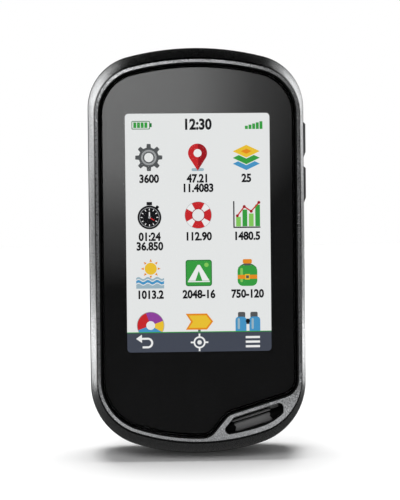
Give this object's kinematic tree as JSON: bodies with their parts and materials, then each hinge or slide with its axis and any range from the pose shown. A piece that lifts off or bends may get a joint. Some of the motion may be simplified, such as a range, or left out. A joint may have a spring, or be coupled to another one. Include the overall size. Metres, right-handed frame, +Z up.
{
  "type": "handheld gps unit",
  "caption": "Handheld satellite navigator with a tall touch display, painted bezel ring, strap slot, side keys, rear spine and battery cover.",
  "frame": {"origin": "bottom centre of the box round the unit, at the lowest point of the rounded bottom edge", "axes": "+X to the right seen from the display side, +Y from the display to the back, +Z up along the unit"},
  "size_m": [0.0616, 0.033, 0.1143],
  "materials": {
    "ring_paint": "gun-metal metallic paint, satin",
    "glass": "polished, black printed border",
    "touch_film": "clear film",
    "gasket_rubber": "matte",
    "display": "lit display",
    "white_plastic": "matte",
    "sheet_steel": "plain sheet",
    "flex_film": "amber film",
    "black_plastic": "fine matte grain",
    "housing_plastic": "fine moulded grain",
    "screw_steel": "blackened",
    "battery_wrap": "printed sleeve without lettering",
    "contact_metal": "nickel plated",
    "circuit_board": "solder mask",
    "chip_plastic": "matte",
    "ceramic": "ceramic with silver patch",
    "flash_lens": "ribbed clear lens",
    "key_rubber": "soft matte",
    "latch_metal": "satin stainless"
  },
  "bodies": {
    "casing": {"bezel_ring": "ring_paint", "cover_glass": "glass", "touch_sensor": "touch_film", "glass_adhesive": "gasket_rubber", "display_panel": "display", "backlight_unit": "white_plastic", "display_bracket": "sheet_steel", "display_flex": "flex_film", "front_housing": "black_plastic", "main_gasket": "gasket_rubber", "rear_housing": "housing_plastic", "housing_screws": "screw_steel", "board_screws": "screw_steel", "battery_left": "battery_wrap", "battery_right": "battery_wrap", "battery_springs": "contact_metal", "contact_plates": "contact_metal", "main_board": "circuit_board", "shield_cans": "sheet_steel", "board_chips": "chip_plastic", "gps_antenna": "ceramic", "piezo_buzzer": "chip_plastic", "card_socket": "sheet_steel", "memory_card": "chip_plastic", "upper_board": "circuit_board", "upper_flex": "flex_film", "camera_module": "chip_plastic", "camera_ring": "ring_paint", "camera_window": "glass", "flash_lens": "flash_lens", "flash_led": "white_plastic", "vent_membrane": "white_plastic", "usb_port": "sheet_steel", "key_board": "circuit_board", "side_switches": "chip_plastic", "key_flex": "flex_film"},
    "cover": {"battery_cover": "housing_plastic", "cover_seal": "gasket_rubber", "latch_seal": "gasket_rubber"},
    "latch": {"latch_stud": "latch_metal", "latch_bar": "latch_metal"},
    "bail": {"d_ring": "latch_metal"},
    "cap": {"usb_cap": "key_rubber"},
    "power_key": {"power_button": "key_rubber"},
    "user_key": {"user_button": "key_rubber"}
  },
  "joints": [
    {"name": "power_press", "type": "slide", "parent": "casing", "child": "power_key", "axis": [-1, 0, 0], "range_m": [0, 0.00035], "stiffness_N_per_m": 4000},
    {"name": "user_press", "type": "slide", "parent": "casing", "child": "user_key", "axis": [-1, 0, 0], "range_m": [0, 0.00035], "stiffness_N_per_m": 4000},
    {"name": "cover_lift", "type": "slide", "parent": "casing", "child": "cover", "axis": [0, 1, 0], "range_m": [0, 0.03]},
    {"name": "latch_turn", "type": "hinge", "parent": "cover", "child": "latch", "pos_m": [0, 0.012, 0.0196], "axis": [0, 1, 0], "range_deg": [0, 90]},
    {"name": "ring_flip", "type": "hinge", "parent": "latch", "child": "bail", "pos_m": [0, 0.011, 0.0196], "axis": [1, 0, 0], "range_deg": [0, 180]},
    {"name": "cap_open", "type": "hinge", "parent": "casing", "child": "cap", "pos_m": [0.012, 0.01135, 0.09015], "axis": [-1, 0, 0], "range_deg": [0, 100]}
  ]
}
